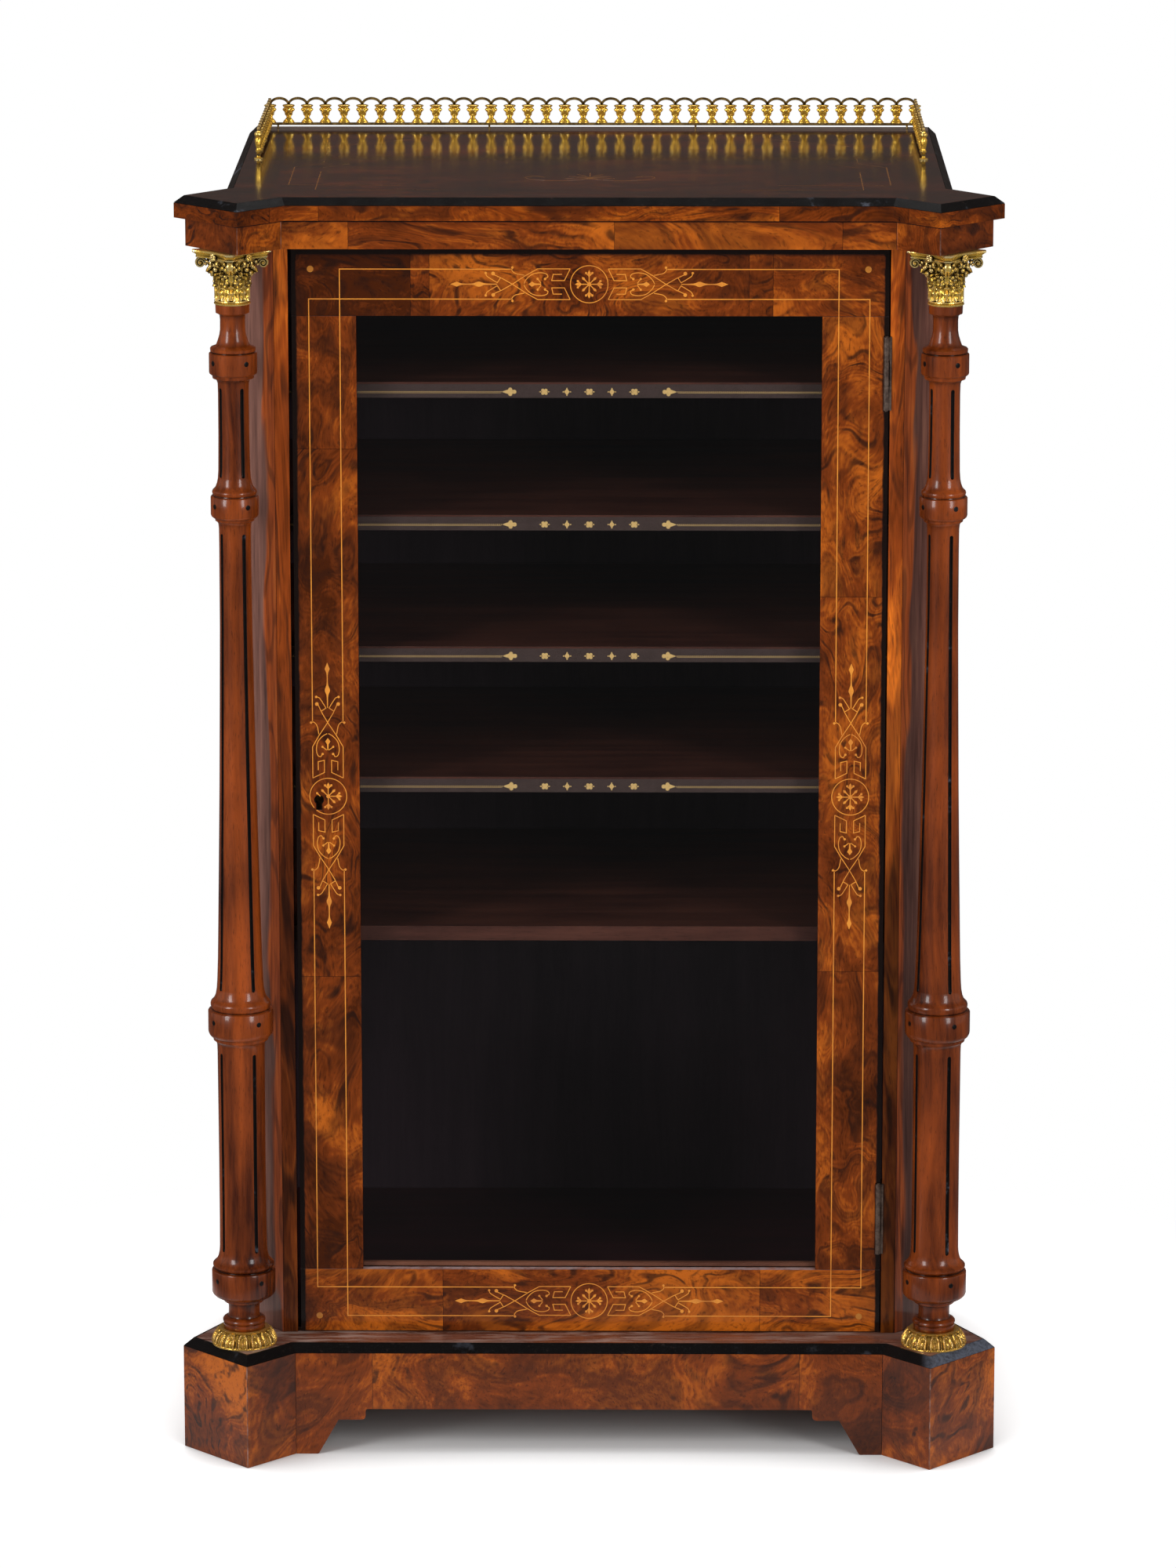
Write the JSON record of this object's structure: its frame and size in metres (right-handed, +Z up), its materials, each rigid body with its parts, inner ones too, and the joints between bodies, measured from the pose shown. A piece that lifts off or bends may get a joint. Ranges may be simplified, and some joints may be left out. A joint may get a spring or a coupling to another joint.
{
  "type": "sheet music cabinet",
  "caption": "Upright glazed walnut cabinet for sheet music, with shelves, turned corner columns, inlaid door and pierced gallery.",
  "frame": {"origin": "on the floor, under the middle of the bounding box", "axes": "+Z up, the door faces -Y, +X to the right as seen from the front"},
  "size_m": [0.665, 0.4614, 1.062],
  "materials": {
    "burr_walnut": "burr walnut veneer under a deep gloss polish, inlaid with boxwood lines",
    "straight_walnut": "polished figured walnut",
    "mahogany_carcass": "dark stained carcass wood, dull polish",
    "turned_walnut": "turned and fluted red-brown wood, polished, flutes blackened",
    "ebonised": "black stained and polished",
    "gilt_brass": "cast brass, gilt, dark in the recesses",
    "aged_hinge_steel": "aged grey-brown metal",
    "lock_brass": "aged brass",
    "dark_leather": "dark leather with gilt tooling",
    "old_glass": "clear thin glass"
  },
  "bodies": {
    "carcass": {"top_board": "burr_walnut", "frieze_front": "burr_walnut", "frieze_block_left": "burr_walnut", "frieze_block_right": "burr_walnut", "plinth_front": "burr_walnut", "plinth_block_left": "burr_walnut", "plinth_block_right": "burr_walnut", "carcass_side_left": "straight_walnut", "carcass_side_right": "straight_walnut", "canted_corner_left": "straight_walnut", "canted_corner_right": "straight_walnut", "front_stile_left": "straight_walnut", "front_stile_right": "straight_walnut", "plinth_side_left": "straight_walnut", "plinth_side_right": "straight_walnut", "plinth_top_board": "straight_walnut", "frieze_side_left": "straight_walnut", "frieze_side_right": "straight_walnut", "carcass_back": "mahogany_carcass", "carcass_bottom": "mahogany_carcass", "carcass_top": "mahogany_carcass", "plinth_back": "mahogany_carcass", "shelf_first": "mahogany_carcass", "shelf_second": "mahogany_carcass", "shelf_third": "mahogany_carcass", "shelf_fourth": "mahogany_carcass", "shelf_fifth": "mahogany_carcass", "column_shaft_left": "turned_walnut", "column_shaft_right": "turned_walnut", "plinth_ebony_moulding": "ebonised", "top_ebony_moulding": "ebonised", "column_capital_left": "gilt_brass", "column_capital_right": "gilt_brass", "column_foot_ring_left": "gilt_brass", "column_foot_ring_right": "gilt_brass", "gallery_back": "gilt_brass", "gallery_left": "gilt_brass", "gallery_right": "gilt_brass", "gallery_post_left": "gilt_brass", "gallery_post_right": "gilt_brass", "hinge_leaf_carcass_lower": "aged_hinge_steel", "hinge_leaf_carcass_upper": "aged_hinge_steel", "hinge_pin_lower": "aged_hinge_steel", "hinge_pin_upper": "aged_hinge_steel", "lock_strike_plate": "lock_brass", "leather_fall_first": "dark_leather", "leather_fall_second": "dark_leather", "leather_fall_third": "dark_leather", "leather_fall_fourth": "dark_leather"},
    "door": {"door_rail_bottom": "burr_walnut", "door_rail_top": "burr_walnut", "door_stile_hinge": "burr_walnut", "door_stile_lock": "burr_walnut", "door_glass": "old_glass", "glazing_bead": "straight_walnut", "hinge_leaf_door_lower": "aged_hinge_steel", "hinge_leaf_door_upper": "aged_hinge_steel", "lock_case": "lock_brass", "keyhole_escutcheon": "lock_brass"},
    "lock_bolt": {"lock_bolt": "lock_brass"}
  },
  "joints": [
    {"name": "door_hinge", "type": "hinge", "parent": "carcass", "child": "door", "pos_m": [0.2363, -0.15845, 0.5], "axis": [0, 0, 1], "range_deg": [0, 110]},
    {"name": "lock_bolt_slide", "type": "slide", "parent": "door", "child": "lock_bolt", "axis": [-1, 0, 0], "range_m": [0, 0.007]}
  ]
}
